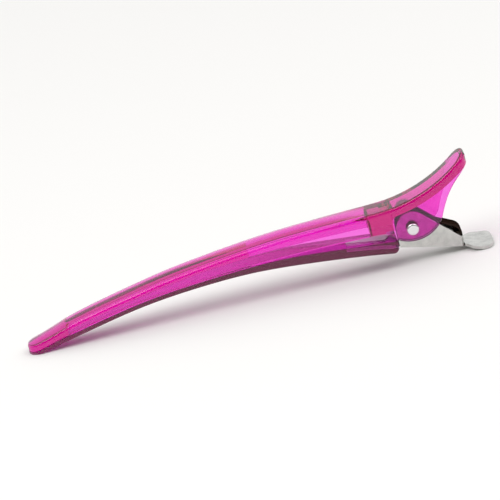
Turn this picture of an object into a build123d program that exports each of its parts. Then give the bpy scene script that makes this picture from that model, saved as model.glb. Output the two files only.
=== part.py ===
from build123d import *
from math import asin, atan2, cos, hypot, radians, sin, tan
import os

os.makedirs("parts", exist_ok=True)

# Duckbill hair clip, in millimetres. X runs from the beak's tip to the lever's paddle, Y across,
# Z up from the table that the clip stands on. The origin is the middle of the clip at the table.

# Overall sizes
clip_length = 110.0  # beak's tip to paddle's end
lever_reach = 17.6  # hinge pin to paddle's end
arch_rise = 9.2  # crown of the line where the jaws meet, above the table
upper_depth = 4.6  # upper jaw above that line, just ahead of the web
lower_depth = 3.0  # lower jaw at its rear end
lower_fall = 2.4  # how far the lower jaw's top drops below the upper jaw at its rear end
jaw_gap = 0.2  # between the closed jaws

# Widths across the clip
tip_width = 6.2
tip_flat = 0.4  # straight middle of the rounded tip, seen from above
beak_width = 8.2
paddle_width = 10.4

# Hinge
pin_height = 8.55  # pin's axis above the table
pin_radius = 1.0
pin_running_gap = 0.06  # pin in the cheeks, on the radius
pin_seat_gap = 0.02  # pin in the ears, on the radius
head_radius = 1.45
head_height = 0.55
head_gap = 0.1  # head to cheek

# Upper jaw
plate_thickness = 1.3
wall_thickness = 1.1  # side walls and cheeks
rib_width = 1.8
tab_reach = 15.4  # thumb tab behind the pin
tab_rise = 15.3  # thumb tab's end above the pin
tab_thickness = 2.4
tab_end_flat = 2.6  # straight middle of the tab's rounded end, seen from above
lobe_drop = 2.95  # cheeks below the pin
lobe_gap = 0.35  # cheeks' lobe to the lower jaw
beak_crown = 0.9  # middle of the beak's top above its edges
upper_edge_radius = 0.7  # along the jaw's top
channel_edge_radius = 0.8  # along the channel's roof
channel_end_radius = 0.9  # where the channel ends at the web
pocket_corner_radius = 1.5  # top front corner of the pocket between the cheeks

# Lower jaw
lower_end_gap = 0.3  # its rear end ahead of the lever's ears
lower_corner_radius = 1.3
socket_gap = 0.1  # around the lever's tongue
pad_length = 3.0  # flat under the tip that stands on the table

# Lever, stamped from sheet
sheet_thickness = 0.7
lever_slope = 13.2  # degrees, channel's base to the table
fold_radius = 0.25  # inside of the folds between base and ears
channel_width = 5.6  # over both ears
ear_gap = 0.2  # ear to cheek
ear_radius = 3.7  # ear's rounded top, about the pin
ear_swing_gap = 0.5  # ear to the front wall of the upper jaw's pocket
ear_end_height = 1.8  # ears above the base where they end at the neck
tongue_length = 12.0
tongue_bend_radius = 130.0  # along the tongue, as the lower jaw's arch
tongue_width = 5.0
paddle_length = 6.6
paddle_end_length = 2.4  # length of its rounded end
paddle_level_length = 1.8  # level end that stands on the table
paddle_bend_radius = 6.0

# Spring leaf
leaf_thickness = 0.5
leaf_width = 3.6
leaf_hook_gap = 0.15  # hook to pin
leaf_crown_behind = 1.2  # crown behind the pin
leaf_crown_radius = 1.2
leaf_crown_gap = 0.1  # crown under the thumb tab
leaf_knee_height = 3.4  # rear leg's corner above the foot
leaf_knee_radius = 2.2
leaf_foot_length = 1.6
leaf_foot_gap = 0.05  # foot above the lever's base

# Beak, row by row from the tip. Columns: place as a share of beak_reach, meeting line as a share of
# arch_rise, upper jaw as a share of upper_depth, lower jaw's drop as a share of lower_fall, lower jaw
# as a share of lower_depth, how far the width has grown from tip_width to beak_width, and the top's
# crown as a share of beak_crown.
beak_rows = [
    (0.000, 0.067, 0.300, 0.000, 0.205, 0.00, 0.60),
    (0.032, 0.114, 0.460, 0.000, 0.350, 0.02, 0.76),
    (0.076, 0.250, 0.480, 0.000, 0.400, 0.22, 0.81),
    (0.108, 0.330, 0.550, 0.000, 0.410, 0.36, 0.84),
    (0.143, 0.411, 0.590, 0.000, 0.417, 0.49, 0.88),
    (0.255, 0.652, 0.620, 0.000, 0.417, 0.73, 0.93),
    (0.366, 0.821, 0.725, 0.000, 0.423, 0.87, 0.97),
    (0.478, 0.918, 0.856, 0.000, 0.450, 0.95, 1.00),
    (0.589, 0.978, 0.982, 0.000, 0.567, 1.00, 1.00),
    (0.700, 1.005, 1.090, 0.125, 0.773, 1.00, 1.00),
    (0.812, 1.005, 1.125, 0.500, 0.850, 1.00, 0.70),
    (0.900, 0.989, 1.120, 0.770, 0.950, 1.00, 0.15),
]
nose_share = 0.10  # of beak_reach, solid ahead of the channel
rib_share = 0.60  # of beak_reach, where the channel's rib ends

# Thumb tab's top, from the beak back. Columns: place as a share of the tab's length, and how much of
# beak_crown is left there.
tab_rows = [
    (0.20, 0.10),
    (0.40, 0.10),
    (0.60, 0.10),
    (0.80, 0.10),
    (1.00, 0.10),
]

# Cheeks' rear edge from the tab's underside down. Columns: share of tab_reach behind the pin and
# share of tab_rise above it.
cheek_rows = [
    (0.885, 0.690),
    (0.705, 0.505),
    (0.590, 0.335),
    (0.510, 0.175),
    (0.455, 0.040),
]
lobe_front = -0.40  # lobe's front corner, share of tab_reach

beak_reach = clip_length - lever_reach
tip_x = -clip_length / 2
pin_x = tip_x + beak_reach
paddle_end_x = clip_length / 2
half_width = beak_width / 2
pin_at = Vector(pin_x, pin_height)


def station(share):
    return tip_x + share * beak_reach


def meeting(row):
    return row[1] * arch_rise


def upper_top(row):
    return meeting(row) + row[2] * upper_depth


def rib_bottom(row):
    return meeting(row) + 0.4 * (upper_top(row) - plate_thickness - meeting(row))


def lower_top(row):
    return meeting(row) - row[3] * lower_fall - jaw_gap


def lower_bottom(row):
    return lower_top(row) + jaw_gap - row[4] * lower_depth


# Thumb tab: one arc that starts in line with the beak's top, at its last row
last_row = beak_rows[-1]
row_before = beak_rows[-2]
tab_start = Vector(station(last_row[0]), upper_top(last_row))
tab_end = Vector(pin_x + tab_reach, pin_height + tab_rise)
beak_end_slope = atan2(
    upper_top(last_row) - upper_top(row_before),
    station(last_row[0]) - station(row_before[0]),
)
tab_chord = hypot(tab_end.X - tab_start.X, tab_end.Y - tab_start.Y)
tab_chord_slope = atan2(tab_end.Y - tab_start.Y, tab_end.X - tab_start.X)
tab_turn = 2 * (tab_chord_slope - beak_end_slope)
tab_radius = tab_chord / (2 * sin(tab_turn / 2))
tab_centre = Vector(
    tab_start.X - tab_radius * sin(beak_end_slope),
    tab_start.Y + tab_radius * cos(beak_end_slope),
)


def under_tab(x):
    # height of the tab's underside, which follows its top a thickness below
    across = x - tab_centre.X
    return tab_centre.Y - ((tab_radius + tab_thickness) ** 2 - across**2) ** 0.5


# Lever's sheet: straight sloping base, a bend to the paddle's level end, a tongue that curves forward
base_slope = tan(radians(lever_slope))
sheet_rise = sheet_thickness / 2 / cos(radians(lever_slope))
ear_front_x = pin_x - ear_radius
jaw_end_x = ear_front_x - lower_end_gap
tongue_end_x = ear_front_x - tongue_length
bend_end_x = paddle_end_x - paddle_level_length
bend_start_x = bend_end_x - paddle_bend_radius * sin(radians(lever_slope))
bend_rise = paddle_bend_radius * (1 - cos(radians(lever_slope)))


def base_middle(x):
    return sheet_thickness / 2 + bend_rise + (bend_start_x - x) * base_slope


tongue_centre = Vector(
    ear_front_x - tongue_bend_radius * sin(radians(lever_slope)),
    base_middle(ear_front_x) - tongue_bend_radius * cos(radians(lever_slope)),
)


def tongue_middle(x):
    return tongue_centre.Y + (tongue_bend_radius**2 - (x - tongue_centre.X) ** 2) ** 0.5


def width_at(row):
    return tip_width + row[5] * (beak_width - tip_width)


def over_tab(x):
    # height of the tab's top
    return tab_centre.Y - (tab_radius**2 - (x - tab_centre.X) ** 2) ** 0.5


floor_z = -clip_length / 30  # construction shapes reach down to here
sky_z = clip_length / 3  # and up to here
past = 1.0  # and this far past both ends

# Both jaws' outline from above, with the rounded tip, as one tall block
with BuildPart() as width_form:
    for row in beak_rows:
        with BuildSketch(Plane.YZ.offset(station(row[0]))):
            Rectangle(width_at(row), 2 * sky_z)
    with BuildSketch(Plane.YZ.offset(jaw_end_x + past)):
        Rectangle(beak_width, 2 * sky_z)
    loft()
    tip_edges = width_form.edges().group_by(Axis.X)[0].sort_by(Axis.Y)
    fillet((tip_edges[0], tip_edges[-1]), radius=(tip_width - tip_flat) / 2)

# Outer form of the upper jaw: sections across the clip from tip to tab, with rounded ends and edges
tab_run = tab_end.X - tab_start.X
outer_sections = [
    (station(row[0]), width_at(row), upper_top(row), row[6] * beak_crown) for row in beak_rows
]
for share, crown_share in tab_rows:
    x = tab_start.X + share * tab_run
    outer_sections.append((x, beak_width, over_tab(x), crown_share * beak_crown))

with BuildPart() as outer_form:
    for x, width, height, crown in outer_sections:
        with BuildSketch(Plane.YZ.offset(x)):
            with BuildLine():
                ThreePointArc((-width / 2, height - crown), (0, height), (width / 2, height - crown))
                Polyline(
                    (width / 2, height - crown),
                    (width / 2, floor_z),
                    (-width / 2, floor_z),
                    (-width / 2, height - crown),
                )
            make_face()
    loft()
    tip_edges = outer_form.edges().group_by(Axis.X)[0].sort_by(Axis.Y)
    fillet((tip_edges[0], tip_edges[-1]), radius=(tip_width - tip_flat) / 2)
    end_edges = outer_form.edges().group_by(Axis.X)[-1].sort_by(Axis.Y)
    fillet((end_edges[0], end_edges[-1]), radius=(beak_width - tab_end_flat) / 2)
    fillet(outer_form.faces().sort_by(Axis.Z)[-1].edges(), radius=upper_edge_radius)

# Channel under the beak and the pocket for the ears, both taken out of the upper jaw
with BuildPart() as channel_void:
    for row in [row for row in beak_rows if row[0] > nose_share]:
        roof = upper_top(row) - plate_thickness
        with BuildSketch(Plane.YZ.offset(station(row[0]))):
            with Locations((0, (roof + floor_z) / 2)):
                Rectangle(width_at(row) - 2 * wall_thickness, roof - floor_z)
    loft()
    end_edges = channel_void.edges().group_by(Axis.X)[-1].sort_by(Axis.Y)
    fillet((end_edges[0], end_edges[-1]), radius=channel_end_radius)
    fillet(channel_void.faces().sort_by(Axis.Z)[-1].edges(), radius=channel_edge_radius)

pocket_front_x = pin_x - ear_radius - ear_swing_gap
lobe_front_x = pin_x + lobe_front * tab_reach
pocket_width = channel_width + 2 * ear_gap

with BuildPart() as ear_pocket:
    with BuildSketch(Plane.XZ.offset(-pocket_width / 2)) as pocket_side:
        with BuildLine():
            beyond = tab_end.X + tab_thickness
            middle = (pocket_front_x + beyond) / 2
            underside = ThreePointArc(
                (pocket_front_x, under_tab(pocket_front_x)),
                (middle, under_tab(middle)),
                (beyond, under_tab(beyond)),
            )
            Polyline(
                underside @ 1,
                (beyond, floor_z),
                (lobe_front_x, floor_z),
                (lobe_front_x, meeting(last_row)),
                (pocket_front_x, meeting(last_row)),
                underside @ 0,
            )
        make_face()
        pocket_corner = pocket_side.vertices().sort_by_distance(underside @ 0)[0]
        fillet(pocket_corner, radius=pocket_corner_radius)
    extrude(amount=pocket_width)

with BuildPart() as stiffening_rib:
    with BuildSketch(Plane.XZ.offset(-rib_width / 2)):
        with BuildLine():
            rib_rows = [row for row in beak_rows if 0.7 * nose_share < row[0] < rib_share]
            crest = Spline([(station(row[0]), upper_top(row) - plate_thickness / 2) for row in rib_rows])
            foot = Spline([(station(row[0]), rib_bottom(row)) for row in rib_rows])
            Line(crest @ 0, foot @ 0)
            Line(crest @ 1, foot @ 1)
        make_face()
    extrude(amount=rib_width)

# Upper jaw: nose, arched beak, cheeks and thumb tab, as one moulding
with BuildPart() as upper_jaw:
    with BuildSketch(Plane.XZ.offset(-beak_width)):
        with BuildLine():
            rear_edge = Spline(
                (tab_end.X + past, under_tab(tab_end.X + past)),
                (tab_end.X, under_tab(tab_end.X)),
                *[(pin_x + row[0] * tab_reach, pin_height + row[1] * tab_rise) for row in cheek_rows],
            )
            lobe = ThreePointArc(
                rear_edge @ 1,
                (pin_x, pin_height - lobe_drop),
                (lobe_front_x, meeting(last_row) - jaw_gap),
            )
            edge = Spline([(station(row[0]), meeting(row)) for row in reversed(beak_rows)])
            Line(lobe @ 1, edge @ 0)
            Polyline(
                edge @ 1,
                (tip_x - past, (edge @ 1).Y),
                (tip_x - past, sky_z),
                (tab_end.X + past, sky_z),
                rear_edge @ 0,
            )
        make_face()
        with Locations(pin_at):
            Circle(pin_radius + pin_running_gap, mode=Mode.SUBTRACT)
    extrude(amount=2 * beak_width)
    add(outer_form.part, mode=Mode.INTERSECT)
    add(channel_void.part, mode=Mode.SUBTRACT)
    add(ear_pocket.part, mode=Mode.SUBTRACT)
    add(stiffening_rib.part)

upper_jaw.part.label = "upper_jaw"
export_step(upper_jaw.part, "parts/upper_jaw.step")

# Lower jaw: thin under the beak, deeper at the rear, with a socket for the lever's tongue
with BuildPart() as tongue_socket:
    with BuildSketch(Plane.XZ.offset(-(tongue_width / 2 + socket_gap))):
        with BuildLine():
            socket_middle = (tongue_end_x + ear_front_x) / 2
            ThreePointArc(
                (tongue_end_x - socket_gap, tongue_middle(tongue_end_x)),
                (socket_middle, tongue_middle(socket_middle)),
                (ear_front_x, tongue_middle(ear_front_x)),
            )
        trace(line_width=sheet_thickness + 2 * socket_gap)
    extrude(amount=tongue_width + 2 * socket_gap)

tail_bottom = base_middle(jaw_end_x) - lower_depth / 2 + sheet_rise / 2

with BuildPart() as lower_jaw:
    with BuildSketch(Plane.XZ.offset(-beak_width)) as lower_side:
        with BuildLine():
            meet = Spline(
                *[(station(row[0]), lower_top(row)) for row in beak_rows],
                (jaw_end_x, tail_bottom + lower_depth),
            )
            belly = Spline(
                (tip_x + pad_length, 0),
                *[(station(row[0]), lower_bottom(row)) for row in beak_rows[2:]],
                (jaw_end_x, tail_bottom),
            )
            Line(meet @ 1, belly @ 1)
            Polyline(belly @ 0, (tip_x - past, 0), (tip_x - past, (meet @ 0).Y), meet @ 0)
        make_face()
        rear_corner = lower_side.vertices().sort_by_distance((jaw_end_x, tail_bottom))[0]
        fillet(rear_corner, radius=lower_corner_radius)
        with Locations(lobe.arc_center):
            Circle(lobe.radius + lobe_gap, mode=Mode.SUBTRACT)
    extrude(amount=2 * beak_width)
    add(width_form.part, mode=Mode.INTERSECT)
    add(tongue_socket.part, mode=Mode.SUBTRACT)

lower_jaw.part.label = "lower_jaw"
export_step(lower_jaw.part, "parts/lower_jaw.step")

# Lever: tongue, channel base with two ears, neck and paddle, folded from one sheet
channel_end_x = paddle_end_x - paddle_length
outer_fold = sheet_thickness + fold_radius
flat_half = channel_width / 2 - outer_fold

with BuildPart() as ear_space:
    with BuildSketch(Plane.XZ.offset(-(channel_width / 2 - sheet_thickness))):
        with BuildLine():
            Polyline(
                (ear_front_x - past, base_middle(ear_front_x - past) + sheet_rise),
                (channel_end_x + past, base_middle(channel_end_x + past) + sheet_rise),
                (channel_end_x + past, sky_z),
                (ear_front_x - past, sky_z),
                close=True,
            )
        make_face()
    extrude(amount=channel_width - 2 * sheet_thickness)
    space_floor = ear_space.faces().sort_by(Axis.Z)[0]
    fillet(space_floor.edges().sort_by(Axis.Y)[0::3], radius=fold_radius)

with BuildPart() as strip:
    with BuildSketch(Plane.XZ.offset(-paddle_width)):
        with BuildLine():
            tongue_arc = ThreePointArc(
                (tongue_end_x, tongue_middle(tongue_end_x)),
                (socket_middle, tongue_middle(socket_middle)),
                (ear_front_x, tongue_middle(ear_front_x)),
            )
            base = Line(tongue_arc @ 1, (bend_start_x, base_middle(bend_start_x)))
            bend = TangentArc(base @ 1, (bend_end_x, sheet_thickness / 2), tangent=base % 1)
            Line(bend @ 1, (paddle_end_x, sheet_thickness / 2))
        trace(line_width=sheet_thickness)
    extrude(amount=2 * paddle_width)
    with BuildSketch():
        with BuildLine():
            tongue_side = Polyline(
                (tongue_end_x, 0),
                (tongue_end_x, tongue_width / 2),
                (ear_front_x - outer_fold, tongue_width / 2),
                (ear_front_x, flat_half),
                (channel_end_x, flat_half),
                (channel_end_x, channel_width / 2),
            )
            shoulder = Spline(
                tongue_side @ 1,
                (channel_end_x + paddle_length / 4, 0.44 * paddle_width),
                (paddle_end_x - paddle_end_length, paddle_width / 2),
                tangents=[(1, 0.6), (1, 0)],
            )
            Spline(shoulder @ 1, (paddle_end_x, 0), tangents=[(1, 0), (0, -1)])
            mirror(about=Plane.XZ)
        make_face()
    extrude(amount=clip_length / 2, both=True, mode=Mode.INTERSECT)

with BuildPart() as lever:
    with BuildSketch(Plane.XZ.offset(-channel_width / 2)):
        with BuildLine():
            # ears: round about the pin, then straight down to the neck in line with the round
            ear_end = Vector(channel_end_x, base_middle(channel_end_x) + ear_end_height)
            to_end = ear_end - pin_at
            fall = atan2(-to_end.Y, to_end.X) + asin(ear_radius / to_end.length)
            round_end = pin_at + Vector(ear_radius * sin(fall), ear_radius * cos(fall))
            front = Line((ear_front_x, base_middle(ear_front_x) - sheet_rise), (ear_front_x, pin_height))
            crown = ThreePointArc(
                front @ 1,
                pin_at + Vector(-ear_radius * sin(radians(45)), ear_radius * cos(radians(45))),
                round_end,
            )
            rear = Line(crown @ 1, ear_end)
            Polyline(rear @ 1, (channel_end_x, base_middle(channel_end_x) - sheet_rise), front @ 0)
        make_face()
    extrude(amount=channel_width)
    base_face = lever.faces().sort_by(Axis.Z)[0]
    fillet(base_face.edges().sort_by(Axis.Y)[0::3], radius=outer_fold)
    add(ear_space.part, mode=Mode.SUBTRACT)
    with BuildSketch(Plane.XZ.offset(-channel_width)):
        with Locations(pin_at):
            Circle(pin_radius + pin_seat_gap)
    extrude(amount=2 * channel_width, mode=Mode.SUBTRACT)
    add(strip.part)

lever.part.label = "lever"
export_step(lever.part, "parts/lever.step")

# Pin: shaft across the cheeks and ears, with a domed head at each end
head_start = half_width + head_gap

with BuildPart() as pin:
    with BuildSketch(Plane.XZ.offset(-(head_start + head_height / 2))):
        with Locations(pin_at):
            Circle(pin_radius)
    extrude(amount=2 * head_start + head_height)
    for side in (-1, 1):
        with BuildSketch(Plane.XZ.offset(side * head_start)):
            with Locations(pin_at):
                Circle(head_radius)
        extrude(amount=side * head_height)
    end_faces = pin.faces().sort_by(Axis.Y)
    fillet(end_faces[0].edges() + end_faces[-1].edges(), radius=0.85 * head_height)

pin.part.label = "pin"
export_step(pin.part, "parts/pin.step")

# Spring leaf: hooked round the pin, up to a crown under the thumb tab, down to a foot at the neck
hook_radius = pin_radius + leaf_hook_gap + leaf_thickness / 2
crown_x = pin_x + leaf_crown_behind
crown_z = under_tab(crown_x) - leaf_crown_gap - leaf_thickness / 2
foot_x = channel_end_x - leaf_thickness / 2
foot_z = base_middle(foot_x) + sheet_rise + leaf_foot_gap + leaf_thickness / 2

with BuildPart() as spring:
    with BuildSketch(Plane.XZ.offset(-leaf_width / 2)):
        with BuildLine():
            hook_top = pin_at + Vector(-hook_radius * sin(radians(40)), hook_radius * cos(radians(40)))
            leg = FilletPolyline(
                hook_top,
                (crown_x, crown_z + leaf_crown_radius / 2),
                (foot_x, foot_z + leaf_knee_height),
                (foot_x, foot_z),
                (foot_x - leaf_foot_length, foot_z + leaf_foot_length * base_slope),
                radius=[leaf_crown_radius, leaf_knee_radius, 2 * leaf_thickness],
            )
            ThreePointArc(
                pin_at + Vector(-hook_radius * cos(radians(30)), -hook_radius * sin(radians(30))),
                pin_at + Vector(-hook_radius, 0),
                hook_top,
            )
        trace(line_width=leaf_thickness)
    extrude(amount=leaf_width)

spring.part.label = "spring"
export_step(spring.part, "parts/spring.step")
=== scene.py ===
import math

import bmesh
import bpy
from mathutils import Matrix, Vector


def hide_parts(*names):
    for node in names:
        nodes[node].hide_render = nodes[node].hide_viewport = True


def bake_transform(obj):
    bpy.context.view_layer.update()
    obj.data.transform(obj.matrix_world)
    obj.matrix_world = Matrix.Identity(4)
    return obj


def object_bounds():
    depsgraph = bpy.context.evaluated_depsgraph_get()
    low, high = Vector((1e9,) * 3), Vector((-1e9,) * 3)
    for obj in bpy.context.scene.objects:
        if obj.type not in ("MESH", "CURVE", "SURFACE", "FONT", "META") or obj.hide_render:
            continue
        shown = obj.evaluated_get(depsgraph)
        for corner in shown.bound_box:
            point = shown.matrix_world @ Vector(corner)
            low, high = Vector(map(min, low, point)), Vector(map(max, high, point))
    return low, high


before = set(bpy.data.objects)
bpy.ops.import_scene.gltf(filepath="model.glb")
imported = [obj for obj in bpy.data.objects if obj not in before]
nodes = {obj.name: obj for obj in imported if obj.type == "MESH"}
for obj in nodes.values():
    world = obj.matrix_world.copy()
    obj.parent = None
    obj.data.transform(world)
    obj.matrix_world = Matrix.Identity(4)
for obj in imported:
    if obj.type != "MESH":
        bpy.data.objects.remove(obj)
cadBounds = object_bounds()
mm = 0.001
print("frame loaded:", ", ".join(sorted(nodes)))


# helpers for colours, node trees and objects

def toLinear(hexColour):
    # from the sRGB curve to the linear values that shaders use
    codes = [int(hexColour[i:i + 2], 16) / 255 for i in (1, 3, 5)]
    linear = [c / 12.92 if c <= 0.04045 else ((c + 0.055) / 1.055) ** 2.4 for c in codes]
    return (*linear, 1.0)


def startMaterial(name):
    material = bpy.data.materials.new(name)
    material.use_nodes = True
    material.node_tree.nodes.clear()
    return material


def addNode(tree, kind, settings=None, inputs=None):
    # an input is known by its name, or by its number where names repeat
    node = tree.nodes.new(kind)
    for name, value in (settings or {}).items():
        setattr(node, name, value)
    for key, value in (inputs or {}).items():
        if isinstance(value, bpy.types.NodeSocket):
            tree.links.new(value, node.inputs[key])
        else:
            node.inputs[key].default_value = value
    return node


def giveMaterial(nodeName, material):
    for slot in nodes[nodeName].material_slots:
        slot.material = material


def addObject(name, data):
    added = bpy.data.objects.new(name, data)
    bpy.context.scene.collection.objects.link(added)
    return added


# jaws: clear tinted styrene-acrylonitrile, injection moulded

jawPlastic = {
    "skinColour": "#fffef6",  # what a pass in and out does to the light, however thin the wall
    "depthColour": "#fb03f3",  # what is left after a long way through the plastic
    "depthDensity": 1740.0,  # per metre
    "refraction": 1.57,
    "roughness": 0.035,
    "flowWaves": 4.0,  # mm between the faint waves that the melt leaves
    "flowDepth": 0.012,  # mm
}

# the same plastic as the upper jaw with a deeper tint: painted shade, darker for the shade that
# the lower jaw lies in under the clip
shadedLowerJawPlastic = dict(jawPlastic, depthColour="#ed03e4")


def mouldedClearPlastic(name, spec):
    # saturated where the light goes a long way, pale in thin walls, glossy outside
    material = startMaterial(name)
    tree = material.node_tree
    place = addNode(tree, "ShaderNodeTexCoord")
    waves = addNode(tree, "ShaderNodeTexNoise", inputs={
        "Vector": place.outputs["Object"],
        "Scale": 1 / (spec["flowWaves"] * mm),
        "Detail": 1.0,
    })
    skin = addNode(tree, "ShaderNodeBump", inputs={
        "Height": waves.outputs["Fac"],
        "Distance": spec["flowDepth"] * mm,
        "Strength": 1.0,
    })
    gloss = addNode(tree, "ShaderNodeBsdfPrincipled", inputs={
        "Base Color": toLinear(spec["skinColour"]),
        "Transmission Weight": 1.0,
        "IOR": spec["refraction"],
        "Roughness": spec["roughness"],
        "Normal": skin.outputs["Normal"],
    })
    depth = addNode(tree, "ShaderNodeVolumeAbsorption", inputs={
        "Color": toLinear(spec["depthColour"]),
        "Density": spec["depthDensity"],
    })
    addNode(tree, "ShaderNodeOutputMaterial", inputs={
        "Surface": gloss.outputs["BSDF"],
        "Volume": depth.outputs["Volume"],
    })
    return material


giveMaterial("upper_jaw", mouldedClearPlastic("mouldedClearPlastic", jawPlastic))
# the lower jaw gets the painted-shade copy of the plastic: its deeper tint stands in for shade
giveMaterial("lower_jaw", mouldedClearPlastic("mouldedPlasticPaintedShade", shadedLowerJawPlastic))
print("jaws: clear plastic")


# lever: nickel-plated mild steel sheet, blanked and folded

leverSteel = {
    "plateColour": "#dededa",
    "dullColour": "#a8a8a6",  # where the plating is thinner
    "edgeColour": "#ffffff",  # what the surface mirrors at a flat angle
    "roughness": 0.18,
    "rollMarks": 0.5,  # mm between the rolled sheet's marks, coarser than real ones to show
    "markDepth": 0.008,  # mm
    "cloudSize": 1.5,  # mm, size of the duller patches
}

# what all steel pieces share
rolledSheet = {
    "markStretch": (0.08, 1.0, 1.0),  # the marks run along X
    "brightRoughness": 0.85,  # share of the piece's roughness in its bright patches
    "dullRoughness": 1.2,  # and in its dull ones
}


def sheetSteel(name, spec):
    # bright but not a mirror: the rolled sheet's marks spread the reflections
    material = startMaterial(name)
    tree = material.node_tree
    place = addNode(tree, "ShaderNodeTexCoord")
    stretch = addNode(tree, "ShaderNodeMapping", inputs={
        "Vector": place.outputs["Object"],
        "Scale": rolledSheet["markStretch"],
    })
    marks = addNode(tree, "ShaderNodeTexNoise", inputs={
        "Vector": stretch.outputs["Vector"],
        "Scale": 1 / (spec["rollMarks"] * mm),
        "Detail": 2.0,
    })
    clouds = addNode(tree, "ShaderNodeTexNoise", inputs={
        "Vector": place.outputs["Object"],
        "Scale": 1 / (spec["cloudSize"] * mm),
        "Detail": 3.0,
    })
    firstColour, secondColour, mixedColour = 6, 7, 2  # sockets of a mix node that hold colours
    colour = addNode(tree, "ShaderNodeMix", {"data_type": "RGBA"}, {
        "Factor": clouds.outputs["Fac"],
        firstColour: toLinear(spec["plateColour"]),
        secondColour: toLinear(spec["dullColour"]),
    })
    rough = addNode(tree, "ShaderNodeMapRange", inputs={
        "Value": clouds.outputs["Fac"],
        "To Min": spec["roughness"] * rolledSheet["brightRoughness"],
        "To Max": spec["roughness"] * rolledSheet["dullRoughness"],
    })
    skin = addNode(tree, "ShaderNodeBump", inputs={
        "Height": marks.outputs["Fac"],
        "Distance": spec["markDepth"] * mm,
    })
    metal = addNode(tree, "ShaderNodeBsdfPrincipled", inputs={
        "Base Color": colour.outputs[mixedColour],
        "Metallic": 1.0,
        "Roughness": rough.outputs["Result"],
        "Specular Tint": toLinear(spec["edgeColour"]),
        "Normal": skin.outputs["Normal"],
    })
    addNode(tree, "ShaderNodeOutputMaterial", inputs={"Surface": metal.outputs["BSDF"]})
    return material


giveMaterial("lever", sheetSteel("nickelPlatedSheet", leverSteel))
print("lever: plated sheet steel")


# pin: nickel-plated rivet, headed by a polished punch, so each head is a small bright spot

# the same values as the lever's
pinSteel = {
    "plateColour": "#eceaec",
    "dullColour": "#dcdadc",
    "edgeColour": "#ffffff",
    "roughness": 0.16,
    "rollMarks": 0.3,
    "markDepth": 0.001,
    "cloudSize": 1.5,
}

giveMaterial("pin", sheetSteel("polishedRivet", pinSteel))
print("pin: polished rivet")


# spring: tempered carbon steel leaf, oil-quenched, so it is nearly black with a dull sheen

# the same values as the lever's
springSteel = {
    "plateColour": "#43362f",
    "dullColour": "#2b2420",
    "edgeColour": "#6a6058",
    "roughness": 0.5,
    "rollMarks": 0.3,
    "markDepth": 0.002,
    "cloudSize": 2.0,
}

springShape = {
    "thickness": 0.5,  # mm, all lengths here
    "width": 3.6,
    "edgeRadius": 0.12,
    "edgeSteps": 3,  # faces around each rounded edge
    "endCorner": 0.8,  # corners of the two ends, seen from above
    "cornerShare": 0.8,  # how much of a round corner is cut away
    "pinCentre": (37.4, 8.55),  # X and Z
    "hookRadius": 1.4,
    "hookAngles": (210, 130),  # degrees about the pin
    "hookSteps": 12,
    "corners": [(38.6, 13.4, 1.2), (48.15, 5.43, 2.2), (48.15, 2.03, 1.0)],  # X, Z, bend radius
    "bendStep": 7,  # degrees between rows of the mesh in a bend
    "bendRows": 4,  # at least
    "footEnd": (46.55, 2.41),
    "step": 0.4,  # between rows of the mesh in a straight run
}


def turned(v, angle):
    c, s = math.cos(angle), math.sin(angle)
    return Vector((v.x * c - v.y * s, v.x * s + v.y * c))


def addRun(line, goal, step):
    start = line[-1].copy()
    count = max(1, math.ceil((goal - start).length / step))
    for i in range(1, count + 1):
        line.append(start.lerp(goal, i / count))


def bentStrip(spec):
    # middle line of the leaf as points in X and Z: the hook, then straight runs with round bends
    centre = Vector(spec["pinCentre"])
    first, last = (math.radians(a) for a in spec["hookAngles"])
    line = []
    for i in range(spec["hookSteps"] + 1):
        angle = first + (last - first) * i / spec["hookSteps"]
        line.append(centre + Vector((math.cos(angle), math.sin(angle))) * spec["hookRadius"])
    ends = [Vector(c[:2]) for c in spec["corners"]] + [Vector(spec["footEnd"])]
    for corner, following in zip(spec["corners"], ends[1:]):
        here, radius = Vector(corner[:2]), corner[2]
        back, ahead = (line[-1] - here).normalized(), (following - here).normalized()
        half = back.angle(ahead) / 2
        reach = radius / math.tan(half)
        hub = here + (back + ahead).normalized() * (radius / math.sin(half))
        addRun(line, here + back * reach, spec["step"])
        turn = math.pi - 2 * half
        start = here + back * reach - hub
        side = math.copysign(1.0, start.x * ahead.y - start.y * ahead.x)
        rows = max(spec["bendRows"], round(math.degrees(turn) / spec["bendStep"]))
        for i in range(1, rows + 1):
            line.append(hub + turned(start, side * turn * i / rows))
    addRun(line, ends[-1], spec["step"])
    return line


def roundedSection(halfWidth, halfThick, radius, steps):
    # outline of the strip cut across, edge by edge, with a middle point on the upper long side
    points = []
    for n, (sx, sy) in enumerate([(1, 1), (-1, 1), (-1, -1), (1, -1)]):
        if n == 1:
            points.append((0.0, halfThick))
        for i in range(steps + 1):
            angle = math.radians(90 * n + 90 * i / steps)
            points.append((sx * (halfWidth - radius) + radius * math.cos(angle),
                           sy * (halfThick - radius) + radius * math.sin(angle)))
    return points


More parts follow.
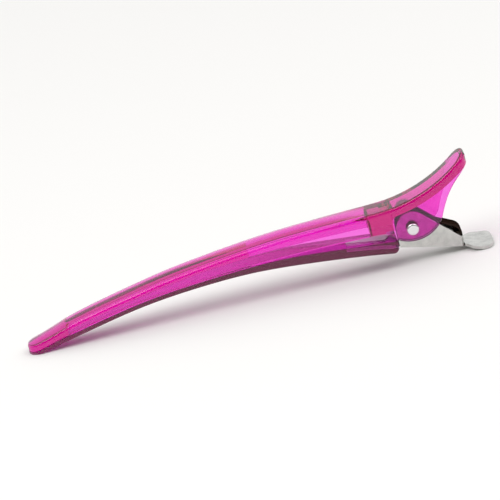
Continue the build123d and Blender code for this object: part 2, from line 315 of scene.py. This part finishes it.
def buildSpringLeaf(spec, material):
    line = bentStrip(spec)
    lengths = [0.0]
    for a, b in zip(line, line[1:]):
        lengths.append(lengths[-1] + (b - a).length)
    whole, corner = lengths[-1], spec["endCorner"]
    work = bmesh.new()
    rings = []
    for i, (point, run) in enumerate(zip(line, lengths)):
        before, after = line[max(i - 1, 0)], line[min(i + 1, len(line) - 1)]
        along = (after - before).normalized()
        outward = Vector((-along.y, along.x))
        fromEnd = min(run, whole - run)
        short = corner - math.sqrt(max(corner ** 2 - max(corner - fromEnd, 0) ** 2, 0))
        section = roundedSection(spec["width"] / 2 - short * spec["cornerShare"],
                                 spec["thickness"] / 2, spec["edgeRadius"], spec["edgeSteps"])
        ring = []
        for across, up in section:
            place = point + outward * up
            ring.append(work.verts.new((place.x * mm, across * mm, place.y * mm)))
        rings.append(ring)
    for a, b in zip(rings, rings[1:]):
        for i in range(len(a)):
            j = (i + 1) % len(a)
            work.faces.new((a[i], a[j], b[j], b[i]))
    for ring in (rings[0], rings[-1]):
        work.faces.new(ring)
    bmesh.ops.recalc_face_normals(work, faces=work.faces)
    for face in work.faces:
        face.smooth = True
    for edge in work.edges:
        if max(len(face.verts) for face in edge.link_faces) > 4:  # only the cut ends have more
            edge.smooth = False
    mesh = bpy.data.meshes.new("springLeaf")
    work.to_mesh(mesh)
    work.free()
    mesh.materials.append(material)
    return addObject("springLeaf", mesh)


temperedLeaf = sheetSteel("temperedLeaf", springSteel)
giveMaterial("spring", temperedLeaf)
leaf = buildSpringLeaf(springShape, temperedLeaf)
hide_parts("spring")
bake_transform(leaf)


# floor and studio

studio = {
    "floorColour": "#f4f3f1",
    "floorSize": 3.0,  # m
    "floorDrop": 0.0001,  # m, keeps the floor off the faces that rest on it
    "roomAxis": (0.0, 0.6, 0.8),  # the room grows lighter this way
    "roomShades": [(0.2, "#202022"), (0.5, "#808082"), (0.62, "#ffffff"), (1.0, "#ffffff")],
    "roomStrength": 0.97,
    "lights": [
        # name, azimuth, elevation in degrees, distance and size in m, power in W
        ("keySoftbox", -50, 58, 0.8, 0.6, 1.8),
        ("fillSoftbox", 60, 45, 0.9, 0.6, 1.0),
    ],
}

view = {
    "azimuth": 0.0,  # degrees
    "elevation": 20.0,
    "roll": 13.7,  # the photograph shows the clip turned this far in its picture plane
    "distance": 0.9,  # m
    "nearest": 0.01,  # m, where the camera starts to see
    "sensor": 36.0,  # mm
    "fill": 0.93,  # share of the picture's width that the clip takes
}


def aim(moved, place, target, roll=0.0):
    look = (target - place).to_track_quat("-Z", "Y").to_matrix().to_4x4()
    moved.matrix_world = Matrix.Translation(place) @ look @ Matrix.Rotation(roll, 4, "Z")


def onSphere(target, azimuth, elevation, distance):
    # azimuth 0 stands in front and looks along +Y
    a, e = math.radians(azimuth), math.radians(elevation)
    away = Vector((math.sin(a) * math.cos(e), -math.cos(a) * math.cos(e), math.sin(e)))
    return target + away * distance


def placeCamera(spec, low, high):
    target = (Vector(low) + Vector(high)) / 2
    lens = bpy.data.cameras.new("studioCamera")
    camera = addObject("studioCamera", lens)
    width = (high[0] - low[0]) * math.cos(math.radians(spec["roll"]))
    lens.sensor_width = spec["sensor"]
    lens.lens = spec["sensor"] * spec["distance"] * spec["fill"] / width
    lens.clip_start = spec["nearest"]
    place = onSphere(target, spec["azimuth"], spec["elevation"], spec["distance"])
    aim(camera, place, target, -math.radians(spec["roll"]))
    bpy.context.scene.camera = camera
    return target


def mattePaper(spec):
    # seamless paper: no gloss, and no pattern at this scale
    material = startMaterial("mattePaper")
    tree = material.node_tree
    paper = addNode(tree, "ShaderNodeBsdfDiffuse", inputs={"Color": toLinear(spec["floorColour"])})
    addNode(tree, "ShaderNodeOutputMaterial", inputs={"Surface": paper.outputs["BSDF"]})
    return material


def layFloor(spec):
    half, level = spec["floorSize"] / 2, -spec["floorDrop"]
    corners = [(x * half, y * half, level) for x, y in ((-1, -1), (1, -1), (1, 1), (-1, 1))]
    mesh = bpy.data.meshes.new("studioFloor")
    mesh.from_pydata(corners, [], [(0, 1, 2, 3)])
    mesh.materials.append(mattePaper(spec))
    floor = addObject("studioFloor", mesh)


def hangLights(spec, target):
    for name, azimuth, elevation, distance, size, power in spec["lights"]:
        lamp = bpy.data.lights.new(name, "AREA")
        lamp.energy = power
        lamp.size = size
        aim(addObject(name, lamp), onSphere(target, azimuth, elevation, distance), target)


def paintRoom(spec):
    # white above and behind the clip and greyer low in front: the clear jaws glow
    world = bpy.data.worlds.new("paleRoom")
    bpy.context.scene.world = world
    world.use_nodes = True
    tree = world.node_tree
    tree.nodes.clear()
    direction = addNode(tree, "ShaderNodeTexCoord")
    along = addNode(tree, "ShaderNodeVectorMath", {"operation": "DOT_PRODUCT"}, {
        0: spec["roomAxis"],
        1: direction.outputs["Generated"],
    })
    height = addNode(tree, "ShaderNodeMapRange", inputs={
        "Value": along.outputs["Value"],
        "From Min": -1.0,
    })
    shade = addNode(tree, "ShaderNodeValToRGB", inputs={"Fac": height.outputs["Result"]})
    stops = shade.color_ramp.elements
    while len(stops) < len(spec["roomShades"]):
        stops.new(0.5)
    for stop, (position, colour) in zip(stops, spec["roomShades"]):
        stop.position = position
        stop.color = toLinear(colour)
    room = addNode(tree, "ShaderNodeBackground", inputs={
        "Color": shade.outputs["Color"],
        "Strength": spec["roomStrength"],
    })
    addNode(tree, "ShaderNodeOutputWorld", inputs={"Surface": room.outputs["Background"]})


middle = placeCamera(view, *cadBounds)
layFloor(studio)
hangLights(studio, middle)
paintRoom(studio)
bpy.context.scene.view_settings.view_transform = "Standard"  # keeps the tint's full colour
bpy.context.scene.cycles.max_bounces = 40  # light passes many faces inside the clear jaws
bpy.context.scene.cycles.transmission_bounces = 40
bpy.context.scene.cycles.glossy_bounces = 24
print("studio and camera")
